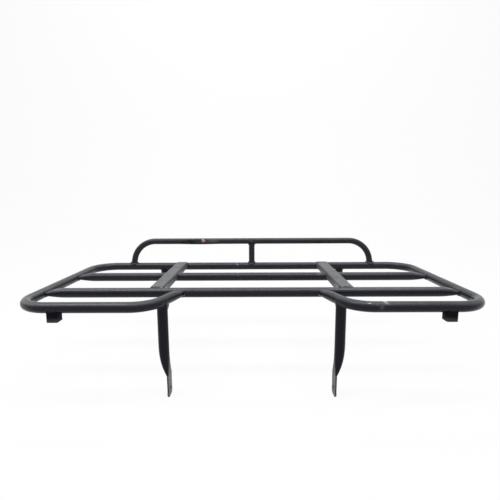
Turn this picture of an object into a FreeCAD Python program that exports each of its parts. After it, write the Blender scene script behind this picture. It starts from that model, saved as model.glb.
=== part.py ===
import FreeCAD, Part
import math
import os

# Front rack of an all-terrain vehicle: a deck of bent steel tube on four legs, with a raised fence.
# X runs to the rider's right, Y towards the front of the vehicle, Z up. The origin lies on the ground
# in the middle of the rack's outline. Lengths are in millimetres, angles in degrees.

Vector = FreeCAD.Vector
ACROSS = Vector(1, 0, 0)
UP = Vector(0, 0, 1)
SIDES = {"left": -1, "right": 1}

# Tube stock; every tube is closed by its welds or by a pinched end, so its bore is left filled
tube_d = 20.0
tube_wall = 1.6
fence_d = 16.0

# Deck outline, measured between tube axes
deck_length = 855.0
deck_depth = 385.6
deck_height = 188.2
bend_radius = 57.0

# Cut-out for the steering: the rear rail turns in and runs, pinched at its end, to the rear cross tube
recess_half = 182.0
recess_turn = 70.0
recess_end_thickness = 12.0
recess_end_taper = 30.0
recess_end_flat = 3.0

# Cross tubes, measured forward from the axis of the rear rail
rear_cross_y = 101.8
middle_cross_y = 248.9
cross_end_thickness = 9.5
cross_end_taper = 36.0
cross_end_flat = 4.0

# Fence on the front rail
fence_rise = 70.1
fence_bend_radius = 60.0
fence_arc_x = 266.5
fence_splay = 10.0

# Deck channels of folded sheet
channel_x = 193.0
channel_width = 30.0
channel_height = 14.5
channel_sheet = 2.5
channel_inner_bend = 1.0
channel_front_inset = 5.0

# Legs, with the lower end pinched shut to a blade of two walls, and a bolt hole
leg_blade_length = 44.5
leg_taper = 67.0
leg_hole_d = 8.5
leg_hole_up = 15.0
leg_corner_radius = 8.0
front_leg_x = 243.5

# Square tube stubs under the rear rail, measured in from the axis of the side rail
foot_width = 20.0
foot_wall = 2.0
foot_drop = 25.0
foot_seat = 5.5
foot_inner_corner = 0.5
foot_inset = 74.0

# Joints
fit_gap = 0.2
weld_leg = 2.6
foot_weld_leg = 1.6
channel_weld_length = 13.0

# A pinched section is two flats and two rounded ends, with the girth of the round tube. Each half of an
# end turns through the end angle in equal arcs. The thickness falls with a power of the share of the taper.
oval_end_angle = 88.0
oval_end_arcs = 5
taper_shares = (0.0, 0.5, 0.8, 1.0)
leg_taper_power = 3
deck_taper_power = 2

# Places that follow from the sizes above
tube_r = tube_d / 2
side_x = deck_length / 2
foot_x = side_x - foot_inset
leg_blade_thickness = 2 * tube_wall
leg_blade_width = leg_blade_thickness + math.pi * (tube_d - leg_blade_thickness) / 2
rear_y = (foot_width - leg_blade_width) / 4 - deck_depth / 2
front_y = rear_y + deck_depth
cross_y = rear_y + rear_cross_y
middle_y = rear_y + middle_cross_y
recess_angle = math.radians(recess_turn)
recess_tangent = bend_radius * math.tan(recess_angle / 2)
recess_way = Vector(-math.cos(recess_angle), math.sin(recess_angle), 0)
recess_inward = Vector(math.sin(recess_angle), math.cos(recess_angle), 0)
recess_corner = Vector(recess_half, rear_y, deck_height)
recess_bend_end = recess_corner + recess_way * recess_tangent
recess_end = recess_corner + recess_way * (rear_cross_y / math.sin(recess_angle))
channel_top = deck_height + tube_r + fit_gap + channel_sheet
channel_front_y = front_y - channel_front_inset


def bent_line(points, radius):
    """Edges through the points, with each inner corner rounded by an arc of the given radius."""
    edges = []
    start = points[0]
    for before, corner, after in zip(points, points[1:], points[2:]):
        back = (before - corner).normalize()
        ahead = (after - corner).normalize()
        half_angle = back.getAngle(ahead) / 2
        tangent = radius / math.tan(half_angle)
        middle = (back + ahead).normalize()
        centre = corner + middle * (radius / math.sin(half_angle))
        arc_start = corner + back * tangent
        arc_end = corner + ahead * tangent
        edges.append(Part.LineSegment(start, arc_start).toShape())
        edges.append(Part.Arc(arc_start, centre - middle * radius, arc_end).toShape())
        start = arc_end
    edges.append(Part.LineSegment(start, points[-1]).toShape())
    return edges


def placed(shape, origin, first_axis, up_axis):
    """The shape with its own X axis along the first axis, its Z axis along the second, at an origin."""
    shape.Placement = FreeCAD.Placement(origin, FreeCAD.Rotation(first_axis, Vector(), up_axis, "ZXY"))
    return shape


def rod(edges, diameter):
    """A solid of round section along lines and arcs: cylinders joined by parts of a torus."""
    pieces = []
    for edge in edges:
        begin = edge.valueAt(edge.FirstParameter)
        end = edge.valueAt(edge.LastParameter)
        if edge.Curve.TypeId == "Part::GeomLine":
            pieces.append(cylinder(diameter, begin, end))
        else:
            centre = edge.Curve.Center
            disc = Part.Face(Part.Wire(Part.makeCircle(diameter / 2)))
            section = placed(disc, begin, centre - begin, edge.tangentAt(edge.FirstParameter))
            turn = math.degrees(edge.LastParameter - edge.FirstParameter)
            pieces.append(section.revolve(centre, edge.Curve.Axis, turn))
    return pieces[0].fuse(pieces[1:])


def cylinder(diameter, start, end):
    """A solid cylinder from one point to another."""
    span = end - start
    return Part.makeCylinder(diameter / 2, span.Length, start, span)


def box(low, high):
    """A box between two opposite corners."""
    size = high - low
    return Part.makeBox(size.x, size.y, size.z, low)


def oval_width(diameter, thickness):
    """The width of a round tube pinched to a thickness, with its girth kept."""
    return thickness + math.pi * (diameter - thickness) / 2


def oval_wire(diameter, thickness, shift, height):
    """A pinched tube's outline at a height: thickness along X, width along Y, moved along X by the shift."""
    end_turn = math.radians(oval_end_angle)
    end_radius = thickness / 2
    end_centre = (oval_width(diameter, thickness) - thickness) / 2
    edges = []
    for side in SIDES.values():
        points = []
        for step in range(-2 * oval_end_arcs, 2 * oval_end_arcs + 1):
            angle = side * math.pi / 2 + step * end_turn / (2 * oval_end_arcs)
            x = shift + end_radius * math.cos(angle)
            y = side * end_centre + end_radius * math.sin(angle)
            points.append(Vector(x, y, height))
        edges += [Part.Arc(*points[k:k + 3]).toShape() for k in range(0, len(points) - 2, 2)]
        last = points[-1]
        across = Vector(last.x, -last.y, height)
        if thickness < diameter:
            edges.append(Part.LineSegment(last, across).toShape())
        else:
            crest = Vector(shift - side * end_radius, 0, height)
            edges.append(Part.Arc(last, crest, across).toShape())
    return Part.Wire(edges)


def pinched_rod(thickness, straight, taper, flat, lean, power):
    """A solid tube up the Z axis, round for its straight length, then pinched to a thickness along X.

    The lean puts the flat end against the +X wall (1), the -X wall (-1) or on the axis (0).
    """
    wires = []
    for share in taper_shares:
        at_share = tube_d - (tube_d - thickness) * share ** power
        shift = lean * (tube_d - at_share) / 2
        wires.append(oval_wire(tube_d, at_share, shift, straight + taper * share))
    body = Part.makeCylinder(tube_r, straight)
    cone = Part.makeLoft(wires, True, True)
    blade = Part.Face(wires[-1]).extrude(UP * flat)
    return body.fuse([cone, blade])


def perimeter_edges():
    """The centre line of the outer tube between the ends of its bends into the cut-out."""
    half = [
        recess_end,
        recess_corner,
        Vector(side_x, rear_y, deck_height),
        Vector(side_x, front_y, deck_height),
    ]
    other = [Vector(-point.x, point.y, point.z) for point in reversed(half)]
    return bent_line(half + other, bend_radius)[1:-1]


def recess_arm():
    """The right-hand end of the outer tube, from its bend to the axis of the rear cross tube, pinched."""
    run = (recess_end - recess_bend_end).Length
    flat = recess_end_flat + tube_r
    straight = run - recess_end_taper - flat
    arm = pinched_rod(recess_end_thickness, straight, recess_end_taper, flat, 0, deck_taper_power)
    return placed(arm, recess_bend_end, UP, recess_way)


def fence_edges():
    """The centre line of the fence hoop, from the axis of the front rail up, across and down again."""
    top = deck_height + fence_rise
    splay = math.radians(fence_splay)
    corner_x = fence_arc_x + fence_bend_radius * math.tan((math.pi / 2 - splay) / 2)
    foot_out = corner_x + fence_rise * math.tan(splay)
    return bent_line([
        Vector(-foot_out, front_y, deck_height),
        Vector(-corner_x, front_y, top),
        Vector(corner_x, front_y, top),
        Vector(foot_out, front_y, deck_height),
    ], fence_bend_radius)


def rail_rod(y, diameter):
    """A straight rod along X at the height of the deck, as long as the deck between its corner bends."""
    reach = side_x - bend_radius
    return cylinder(diameter, Vector(-reach, y, deck_height), Vector(reach, y, deck_height))


def cross_blank(y):
    """A cross tube between the axes of the side rails, pinched flat at both ends."""
    flat = cross_end_flat + tube_r
    straight = side_x - cross_end_taper - flat
    halves = []
    for side in SIDES.values():
        half = pinched_rod(cross_end_thickness, straight, cross_end_taper, flat, 0, deck_taper_power)
        halves.append(placed(half, Vector(0, y, deck_height), UP, ACROSS * side))
    return halves[0].fuse(halves[1]).removeSplitter()


def cross_weld(y, up, rail):
    """The weld run along the top (up is 1) or the underside (up is -1) of a cross tube's right end."""
    half_thickness = cross_end_thickness / 2
    x = side_x - math.sqrt(tube_r ** 2 - half_thickness ** 2)
    z = deck_height + up * half_thickness
    half_run = oval_width(tube_d, cross_end_thickness) / 2 - half_thickness
    run = Vector(0, half_run, 0)
    middle = Vector(x, y, z)
    return straight_weld(middle - run, middle + run, weld_leg, [cross_blank(y), rail])


def along_y(edge):
    """Whether an edge runs along Y."""
    return edge.BoundBox.YLength > edge.BoundBox.XLength + edge.BoundBox.ZLength


def along_z(edge):
    """Whether an edge runs along Z."""
    return edge.BoundBox.ZLength > edge.BoundBox.XLength + edge.BoundBox.YLength


def folded_block(low, high, radius):
    """A box with its two upper long edges rounded, as the outside or the inside of a folded channel."""
    block = box(low, high)
    upper = [edge for edge in block.Edges if along_y(edge) and edge.CenterOfMass.z > block.CenterOfMass.z]
    return block.makeFillet(radius, upper)


def channel(notches):
    """The right-hand deck channel: an upside-down U along Y, with flanges notched over the tubes."""
    low = Vector(channel_x - channel_width / 2, cross_y, channel_top - channel_height)
    high = Vector(channel_x + channel_width / 2, channel_front_y, channel_top)
    wall = ACROSS * channel_sheet
    outer = folded_block(low, high, channel_inner_bend + channel_sheet)
    inner = folded_block(low + wall, high - wall - UP * channel_sheet, channel_inner_bend)
    return outer.cut(inner).cut(notches)


def channel_welds(rails):
    """The weld runs across the ends of the right-hand channel, on the half nearer the middle."""
    start_x = channel_x - channel_width / 2 + channel_inner_bend + channel_sheet
    block = box(
        Vector(channel_x - channel_width, cross_y, deck_height),
        Vector(channel_x + channel_width, channel_front_y, channel_top),
    )
    drop = tube_r - math.sqrt(tube_r ** 2 - channel_front_inset ** 2)
    ends = [
        Vector(start_x, cross_y, deck_height + tube_r),
        Vector(start_x, channel_front_y, deck_height + tube_r - drop / 2),
    ]
    run = ACROSS * channel_weld_length
    return [straight_weld(end, end + run, weld_leg, [block] + rails) for end in ends]


def leg(x, y, lean, notch):
    """A leg under the deck: its top notched to the rail, its lower end pinched, rounded and drilled."""
    straight = deck_height - leg_blade_length - leg_taper
    blank = pinched_rod(leg_blade_thickness, straight, leg_taper, leg_blade_length, lean, leg_taper_power)
    solid = placed(blank, UP * deck_height, ACROSS, -UP)
    for side in SIDES.values():
        inner_y = side * (leg_blade_width / 2 - leg_corner_radius)
        outer_y = side * (leg_blade_width / 2 + leg_corner_radius)
        corner = box(
            Vector(-tube_d, min(inner_y, outer_y), -leg_corner_radius),
            Vector(tube_d, max(inner_y, outer_y), leg_corner_radius),
        )
        round_end = cylinder(
            2 * leg_corner_radius,
            Vector(-tube_d, inner_y, leg_corner_radius),
            Vector(tube_d, inner_y, leg_corner_radius),
        )
        solid = solid.cut(corner.cut(round_end))
    solid = solid.cut(cylinder(leg_hole_d, Vector(-tube_d, 0, leg_hole_up), Vector(tube_d, 0, leg_hole_up)))
    solid.translate(Vector(x, y, 0))
    return solid.cut(notch)


def bend_notch():
    """A straight notch for the leg where the rail's bend ends, widened by the bend's bow across the leg."""
    bow = tube_r ** 2 / (2 * bend_radius)
    middle = recess_bend_end + recess_inward * (bow / 2)
    reach = recess_way * tube_d
    return cylinder(tube_d + 2 * fit_gap + bow, middle - reach, middle + reach)


def foot_block(inset, radius):
    """The outside of the right-hand corner foot, or its inside with the wall as the inset, as a block."""
    half = foot_width / 2 - inset
    low = Vector(foot_x - half, rear_y - half, deck_height - foot_drop)
    high = Vector(foot_x + half, rear_y + half, deck_height - foot_seat)
    block = box(low, high)
    return block.makeFillet(radius, [edge for edge in block.Edges if along_z(edge)])


def corner_foot(rail):
    """A stub of square tube, saddled to the underside of the rear rail."""
    outside = foot_block(0, foot_inner_corner + foot_wall)
    return outside.cut(foot_block(foot_wall, foot_inner_corner)).cut(rail)


def foot_weld(side, rail):
    """The weld run along one side of the right-hand corner foot."""
    corner = foot_inner_corner + foot_wall
    half = ACROSS * (foot_width / 2 - corner)
    middle = Vector(foot_x, rear_y + side * (foot_width / 2 - foot_weld_leg), deck_height - foot_seat)
    return straight_weld(middle - half, middle + half, foot_weld_leg, [foot_block(0, corner), rail])


def straight_weld(start, end, leg_size, neighbours):
    """A straight weld run of round section, less the pieces that it lies against."""
    return cylinder(2 * leg_size, start, end).cut(neighbours)


def mirrored(solid):
    """The same solid on the other side of the rack."""
    return solid.mirror(Vector(), ACROSS)


def on_both_sides(solids):
    """Solids of the right-hand side and their mirror images, as one group."""
    return Part.makeCompound(solids + [mirrored(solid) for solid in solids])


# Rods that stand for the tubes where other pieces meet them, bare or with the fit gap round them
clear_d = tube_d + 2 * fit_gap
perimeter_rod = rod(perimeter_edges(), tube_d)
rear_rail_clear = rail_rod(rear_y, clear_d)
front_rail_clear = rail_rod(front_y, clear_d)
side_rails_clear = []
for side in SIDES.values():
    rail_start = Vector(side * side_x, rear_y, deck_height)
    rail_end = Vector(side * side_x, front_y, deck_height)
    side_rails_clear.append(cylinder(clear_d, rail_start, rail_end))

nodes = {}

# Deck frame: the outer tube ends on the rear cross tube, and the cross tubes end on the side rails
arm = recess_arm()
nodes["perimeter_tube"] = perimeter_rod.fuse([arm, mirrored(arm)]).cut(rail_rod(cross_y, clear_d))
nodes["rear_cross_tube"] = cross_blank(cross_y).cut(side_rails_clear)
nodes["middle_cross_tube"] = cross_blank(middle_y).cut(side_rails_clear)

# Fence: the hoop stands on the front rail, and the post between the rail and the hoop
hoop_edges = fence_edges()
nodes["fence_hoop"] = rod(hoop_edges, fence_d).cut(front_rail_clear)
post_foot = Vector(0, front_y, deck_height)
post_head = Vector(0, front_y, deck_height + fence_rise)
post_ends = [front_rail_clear, rod(hoop_edges, fence_d + 2 * fit_gap)]
nodes["fence_post"] = cylinder(fence_d, post_foot, post_head).cut(post_ends)

# Deck channels: the notches clear the tubes by half the fit gap, so the sheet over the crests stays whole
nodes["deck_channel_right"] = channel([rail_rod(y, tube_d + fit_gap) for y in (cross_y, middle_y, front_y)])
nodes["deck_channel_left"] = mirrored(nodes["deck_channel_right"])

# Legs and feet: a rear leg's blade follows its inner wall, a front leg's blade its outer wall
nodes["rear_leg_right"] = leg(recess_bend_end.x, recess_bend_end.y, -1, bend_notch())
nodes["rear_leg_left"] = mirrored(nodes["rear_leg_right"])
nodes["front_leg_right"] = leg(front_leg_x, front_y, 1, front_rail_clear)
nodes["front_leg_left"] = mirrored(nodes["front_leg_right"])
nodes["corner_foot_right"] = corner_foot(rear_rail_clear)
nodes["corner_foot_left"] = mirrored(nodes["corner_foot_right"])

# Weld runs
nodes["cross_tube_welds"] = on_both_sides([
    cross_weld(y, up, perimeter_rod) for y in (cross_y, middle_y) for up in (1, -1)])
nodes["foot_welds"] = on_both_sides([foot_weld(side, perimeter_rod) for side in SIDES.values()])
nodes["channel_welds"] = on_both_sides(channel_welds([rail_rod(cross_y, tube_d), perimeter_rod]))

os.makedirs("parts", exist_ok=True)
for name, shape in nodes.items():
    shape.exportStep(os.path.join("parts", name + ".step"))
    print(name, shape.isValid(), len(shape.Solids), round(shape.Volume, 1))
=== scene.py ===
import math
from functools import partial

import bpy
import numpy as np
from bpy.props import FloatProperty, FloatVectorProperty, PointerProperty
from mathutils import Matrix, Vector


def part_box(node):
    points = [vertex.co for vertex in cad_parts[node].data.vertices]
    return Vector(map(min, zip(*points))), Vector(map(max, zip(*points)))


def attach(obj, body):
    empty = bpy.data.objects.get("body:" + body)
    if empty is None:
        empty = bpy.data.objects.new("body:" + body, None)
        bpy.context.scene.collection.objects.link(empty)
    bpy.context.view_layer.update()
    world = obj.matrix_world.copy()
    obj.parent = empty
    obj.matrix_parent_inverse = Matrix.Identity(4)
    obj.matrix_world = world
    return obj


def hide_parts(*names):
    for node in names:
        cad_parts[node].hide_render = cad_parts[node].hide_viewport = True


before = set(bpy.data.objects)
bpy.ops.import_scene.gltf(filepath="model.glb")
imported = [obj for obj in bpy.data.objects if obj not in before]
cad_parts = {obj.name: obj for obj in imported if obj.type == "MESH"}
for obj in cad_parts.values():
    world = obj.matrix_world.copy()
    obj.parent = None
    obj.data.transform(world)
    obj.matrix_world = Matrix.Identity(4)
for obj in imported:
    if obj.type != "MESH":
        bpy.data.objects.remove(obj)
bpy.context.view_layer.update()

bl_info = {
    "name": "Vehicle Front Rack",
    "version": (1, 0, 0),
    "blender": (4, 5, 0),
    "location": "View3D > Sidebar > Rack",
    "description": "Builds a welded tube front rack, its worn powder coat and a white studio",
    "category": "Object",
}

MM = 0.001
X_AXIS = np.array((1.0, 0.0, 0.0))
Y_AXIS = np.array((0.0, 1.0, 0.0))
Z_AXIS = np.array((0.0, 0.0, 1.0))
SIDES = {"left": -1.0, "right": 1.0}
# Points round a tube, a leg, a weld bead and a joint, and the spacing of sections along a tube
AROUND, LEG_AROUND, BEAD_AROUND, JOINT_AROUND = 56, 64, 14, 150
STATION = 3.0 * MM
# A coped tube starts this many radii from the axis that it meets
COPE_START = 1.6
SHARP_ANGLE = math.radians(34.0)


def span(node):
    """Lowest and highest corner of a CAD node, as arrays."""
    low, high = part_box(node)
    return np.array(low), np.array(high)


def middle(node):
    """Middle of a CAD node's box."""
    return sum(span(node)) / 2


# Places that the frame gives
RAIL_LOW, RAIL_HIGH = span("perimeter_tube")
HOOP_LOW, HOOP_HIGH = span("fence_hoop")
CHANNEL_LOW, CHANNEL_HIGH = span("deck_channel_right")
REAR_LEG_LOW, REAR_LEG_HIGH = span("rear_leg_right")
FRONT_LEG_LOW, FRONT_LEG_HIGH = span("front_leg_right")
FOOT_LOW, FOOT_HIGH = span("corner_foot_right")
TUBE_D = RAIL_HIGH[2] - RAIL_LOW[2]
TUBE_R = TUBE_D / 2
DECK_Z = middle("perimeter_tube")[2]
SIDE_X = RAIL_HIGH[0] - TUBE_R
FOOT_X, REAR_Y = middle("corner_foot_right")[:2]
FRONT_Y = RAIL_HIGH[1] - TUBE_R
CROSS_Y = middle("rear_cross_tube")[1]
MIDDLE_Y = middle("middle_cross_tube")[1]
FENCE_R = (HOOP_HIGH[1] - HOOP_LOW[1]) / 2
FENCE_TOP = HOOP_HIGH[2] - FENCE_R
FOOT_HALF = (FOOT_HIGH[0] - FOOT_LOW[0]) / 2


def linear(hex_colour):
    """An sRGB hex colour as linear red, green and blue."""
    value = np.array([int(hex_colour[i:i + 2], 16) for i in (1, 3, 5)]) / 255
    return tuple(np.where(value <= 0.04045, value / 12.92, ((value + 0.055) / 1.055) ** 2.4))


def length(name, description, default):
    """A size in metres that a user may change."""
    return FloatProperty(name=name, description=description, default=default, unit="LENGTH", precision=5)


def angle(name, description, degrees):
    """An angle that a user may change."""
    return FloatProperty(name=name, description=description, default=math.radians(degrees), subtype="ANGLE")


def colour(name, description, hex_colour):
    """A colour that a user may change."""
    return FloatVectorProperty(name=name, description=description, default=linear(hex_colour),
                               subtype="COLOR", size=3, min=0.0, max=1.0)


class RackSizes(bpy.types.PropertyGroup):
    """Sizes of the pieces that the frame's boxes don't give."""
    bend_radius: length("Rail bend", "Radius of the deck tube's bends, at its axis", 57.0 * MM)
    recess_half: length("Recess half width", "Half the cut-out's width at the rear rail", 182.0 * MM)
    recess_turn: angle("Recess turn", "Turn of the rear rail into the cut-out", 70.0)
    recess_thickness: length("Recess end", "Thickness of the outer tube's pinched ends", 12.0 * MM)
    recess_taper: length("Recess taper", "Length over which the outer tube's ends are pinched", 30.0 * MM)
    recess_flat: length("Recess flat", "Length of the outer tube's flat ends", 3.0 * MM)
    fence_bend: length("Fence bend", "Radius of the fence hoop's bends, at its axis", 60.0 * MM)
    fence_arc_x: length("Fence straight", "Half the straight run on top of the fence", 266.5 * MM)
    fence_splay: angle("Fence splay", "Lean of the fence's ends from upright", 10.0)
    cross_thickness: length("Cross end", "Thickness of a cross tube's pinched ends", 9.5 * MM)
    cross_taper: length("Cross taper", "Length over which a cross tube is pinched", 36.0 * MM)
    cross_flat: length("Cross flat", "Length of a cross tube's flat end", 4.0 * MM)
    sheet: length("Channel sheet", "Thickness of the deck channels' sheet", 2.5 * MM)
    sheet_bend: length("Channel fold", "Outer radius of the deck channels' folds", 3.5 * MM)
    blade_thickness: length("Blade", "Thickness of a leg's pinched end", 3.2 * MM)
    blade_length: length("Blade length", "Length of a leg's flat end", 44.5 * MM)
    leg_taper: length("Leg taper", "Length over which a leg is pinched", 67.0 * MM)
    blade_corner: length("Blade corner", "Radius of the corners of a leg's end", 8.0 * MM)
    bolt_hole: length("Bolt hole", "Diameter of the hole in a leg's end", 8.5 * MM)
    bolt_height: length("Bolt height", "Height of the bolt hole above a leg's end", 15.0 * MM)
    foot_wall: length("Foot wall", "Wall of the square tube feet", 2.0 * MM)
    foot_corner: length("Foot corner", "Outer corner radius of the square tube feet", 2.5 * MM)
    bead: length("Weld bead", "Radius of the weld beads", 2.4 * MM)
    ripple: length("Weld ripple", "Spacing of the ripples along a weld bead", 2.4 * MM)


class RackFinish(bpy.types.PropertyGroup):
    """Colours of the finishes."""
    coat: colour("Powder coat", "Satin black powder coat", "#15151b")
    sheen: colour("Sheen", "Cool tint of the coat's gloss", "#eaecff")
    # This grey is also the colour of the painted highlights on the tubes and of the painted light on some
    # weld beads
    chalk: colour("Chalked coat", "Powder coat gone grey in the sun and under loads", "#707375")
    dust: colour("Dust", "Fine road dust on upward faces", "#8a8781")
    steel: colour("Bare steel", "Mild steel rubbed bare", "#a6a7a8")
    rust: colour("Rust", "Dry surface rust", "#a0685f")
    paper: colour("Paper", "White seamless paper", "#f6f6f6")


def unit(vectors):
    """Vectors scaled to length one, along the last axis."""
    vectors = np.asarray(vectors)
    return vectors / np.linalg.norm(vectors, axis=-1, keepdims=True)


def ramp(low, high, values):
    """0 below low, 1 above high, and the smooth step 3t^2 - 2t^3 between."""
    share = np.clip((values - low) / (high - low), 0.0, 1.0)
    return share * share * (3.0 - 2.0 * share)


def hump(centre, reach, values):
    """1 at the centre, falling as a cosine to 0 at a reach on either side."""
    return 0.5 + 0.5 * np.cos(np.pi * np.clip((values - centre) / reach, -1.0, 1.0))


def bent_line(corners, radius):
    """Points and tangents along straight runs that are joined by arcs at the inner corners.

    An arc's centre lies on the corner's bisector, at radius / sin(half the corner's angle).
    """
    corners = [np.asarray(corner, float) for corner in corners]
    points, tangents = [], []
    start = corners[0]
    for before, corner, after in zip(corners, corners[1:], corners[2:]):
        back, ahead = unit(before - corner), unit(after - corner)
        half = math.acos(float(back @ ahead)) / 2
        centre = corner + unit(back + ahead) * radius / math.sin(half)
        arc_start = corner + back * radius / math.tan(half)
        points.append(straight_run(start, arc_start))
        tangents.append(np.broadcast_to(-back, points[-1].shape))
        sweep = math.pi - 2 * half
        turn = np.linspace(0.0, sweep, max(8, round(sweep * radius / STATION)), endpoint=False)[:, None]
        spoke = unit(arc_start - centre)
        points.append(centre + radius * (np.cos(turn) * spoke - np.sin(turn) * back))
        tangents.append(-np.sin(turn) * spoke - np.cos(turn) * back)
        start = corner + ahead * radius / math.tan(half)
    last = np.vstack([straight_run(start, corners[-1]), corners[-1]])
    points.append(last)
    tangents.append(np.broadcast_to(unit(corners[-1] - start), last.shape))
    return np.vstack(points), np.vstack(tangents)


def straight_run(start, end):
    """Evenly spaced points from start up to, and without, the end."""
    count = max(2, round(np.linalg.norm(end - start) / STATION))
    return start + np.linspace(0.0, 1.0, count, endpoint=False)[:, None] * (end - start)


def run_lengths(points):
    """Length of a line of points up to each of them."""
    return np.concatenate([[0.0], np.cumsum(np.linalg.norm(np.diff(points, axis=0), axis=1))])


def carried(points, tangents, normal, across, along_normal):
    """A section carried along a flat path: point + across * (tangent x normal) + along_normal * normal."""
    side = np.cross(tangents, normal)
    return points[:, None] + across[..., None] * side[:, None] + along_normal[..., None] * normal


def coped(ring, direction, pole, axis, radius):
    """A ring's points slid along a direction until they meet a cylinder, at the quadratic's nearer root."""
    across = direction - (direction @ axis) * axis
    offset = ring - pole
    offset = offset - (offset @ axis)[:, None] * axis
    square = across @ across
    middle = offset @ across
    under = np.maximum(middle ** 2 - square * ((offset ** 2).sum(1) - radius ** 2), 0.0)
    return ring + ((-middle - np.sqrt(under)) / square)[:, None] * direction


def coped_ends(grid, tangents, pole):
    """A tube's grid with a ring added at each end, slid on until it meets a deck tube that runs along X."""
    first = coped(grid[0], -tangents[0], pole, X_AXIS, TUBE_R)
    last = coped(grid[-1], tangents[-1], pole, X_AXIS, TUBE_R)
    return np.concatenate([first[None], grid, last[None]])


def tapered(thickness, run, taper, power=2):
    """Thickness of a deck tube whose end is pinched: it falls with a power of the share of the taper."""
    return TUBE_D - (TUBE_D - thickness) * np.clip(run / taper, 0.0, 1.0) ** power


def pinched(thickness, turn):
    """A pinched deck tube's outline: two flats and two half circles whose length is the round tube's girth.

    A point at angle a on the round tube, d * a / 2 from the middle of a flat, keeps that distance. The
    flats are pi * (d - t) / 2 long and the ends have radius t / 2. Gives offsets over thickness and width.
    """
    thickness = thickness[:, None]
    folded = np.abs((turn + np.pi / 2) % np.pi - np.pi / 2)[None]
    run = TUBE_D * folded / 2
    half_flat = np.pi * (TUBE_D - thickness) / 4
    end_turn = np.clip((run - half_flat) / (thickness / 2), 0.0, np.pi / 2)
    over = thickness / 2 * np.cos(end_turn)
    wide = np.minimum(run, half_flat) + thickness / 2 * np.sin(end_turn)
    return over * np.where(np.cos(turn) >= 0, 1.0, -1.0), wide * np.where(np.sin(turn) >= 0, 1.0, -1.0)


def flattened(grid, points, way, radius, depth):
    """A tube's grid knocked flat: along a way, no point lies further from the axis than radius - depth."""
    stand = ((grid - points[:, None]) @ way) - (radius - depth[:, None])
    return grid - np.maximum(stand, 0.0)[..., None] * way


def turns(count=AROUND):
    """Angles once round a section."""
    return np.linspace(0.0, 2 * np.pi, count, endpoint=False)


def circle(radius, count=AROUND):
    """Offsets once round a circle, as two arrays."""
    return radius * np.cos(turns(count)), radius * np.sin(turns(count))


def points_from(x, y, z):
    """Points from x, y and z values, each repeated to the others' shape."""
    return np.stack(np.broadcast_arrays(x, y, z), -1)


def grid_quads(rows, columns, wrap_rows):
    """Corner numbers of a grid's quads; the columns run round, and the rows may."""
    row = np.arange(rows if wrap_rows else rows - 1)[:, None]
    column = np.arange(columns)[None]
    after_row = (row + 1) % rows
    after_column = (column + 1) % columns
    quads = np.stack([row * columns + column, row * columns + after_column,
                      after_row * columns + after_column, after_row * columns + column], -1)
    return quads.reshape(-1, 4)


class Shell:
    """Closed surfaces gathered into one mesh: points, faces and named values at the points."""

    def __init__(self):
        self.points, self.faces, self.values, self.count = [], [], {}, 0

    def add(self, grid, wrap_rows=False, strip_caps=False, **values):
        """Adds a grid of points whose columns run round. Open ends get a fan, or a strip of quads across."""
        rows, columns = grid.shape[:2]
        points = grid.reshape(-1, 3)
        faces = grid_quads(rows, columns, wrap_rows).tolist()
        last_row = (rows - 1) * columns
        if not wrap_rows and strip_caps:
            rise = np.arange(columns // 2 - 1)
            strip = np.stack([rise, rise + 1, columns - 2 - rise, columns - 1 - rise], -1)
            faces += strip[:, ::-1].tolist() + (strip + last_row).tolist()
        elif not wrap_rows:
            ring = np.arange(columns)
            after = np.roll(ring, -1)
            near = np.stack([after, ring, np.full(columns, rows * columns)], -1)
            far = np.stack([ring + last_row, after + last_row, np.full(columns, rows * columns + 1)], -1)
            faces += near.tolist() + far.tolist()
            points = np.vstack([points, grid[0].mean(0), grid[-1].mean(0)])
        if enclosed(points, faces) < 0:
            faces = [face[::-1] for face in faces]
        self.faces += [[corner + self.count for corner in face] for face in faces]
        self.points.append(points)
        for name in {**self.values, **values}:
            value = np.zeros(len(points))
            if name in values:
                value[:rows * columns] = np.broadcast_to(values[name], (rows, columns)).reshape(-1)
            self.values.setdefault(name, [np.zeros(self.count)]).append(value)
        self.count += len(points)
        return self

    def make(self, name, material, slot, nodes=()):
        """Puts the surfaces into a mesh object that rides on the rack and stands for its CAD nodes."""
        piece = mesh_object(name, np.vstack(self.points), self.faces, material)
        piece.data.set_sharp_from_angle(angle=SHARP_ANGLE)
        for value_name, value in self.values.items():
            attribute = piece.data.attributes.new(value_name, "FLOAT", "POINT")
            attribute.data.foreach_set("value", np.concatenate(value).astype(np.float32))
        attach(piece, "root")
        if nodes:
            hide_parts(*nodes)


def mesh_object(name, points, faces, material):
    """A smooth mesh object in the scene, with one finish."""
    mesh = bpy.data.meshes.new(name)
    mesh.from_pydata(points.tolist(), [], faces)
    mesh.shade_smooth()
    mesh.materials.append(material)
    piece = bpy.data.objects.new(name, mesh)
    bpy.context.scene.collection.objects.link(piece)
    return piece


def enclosed(points, faces):
    """Six times the volume that the faces enclose, positive where they point outwards."""
    quads = np.array([face if len(face) == 4 else face + face[:1] for face in faces])
    a, b, c, d = (points[quads[:, corner]] for corner in range(4))
    return float((np.cross(a, b) * c).sum() + (np.cross(a, c) * d).sum())


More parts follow.
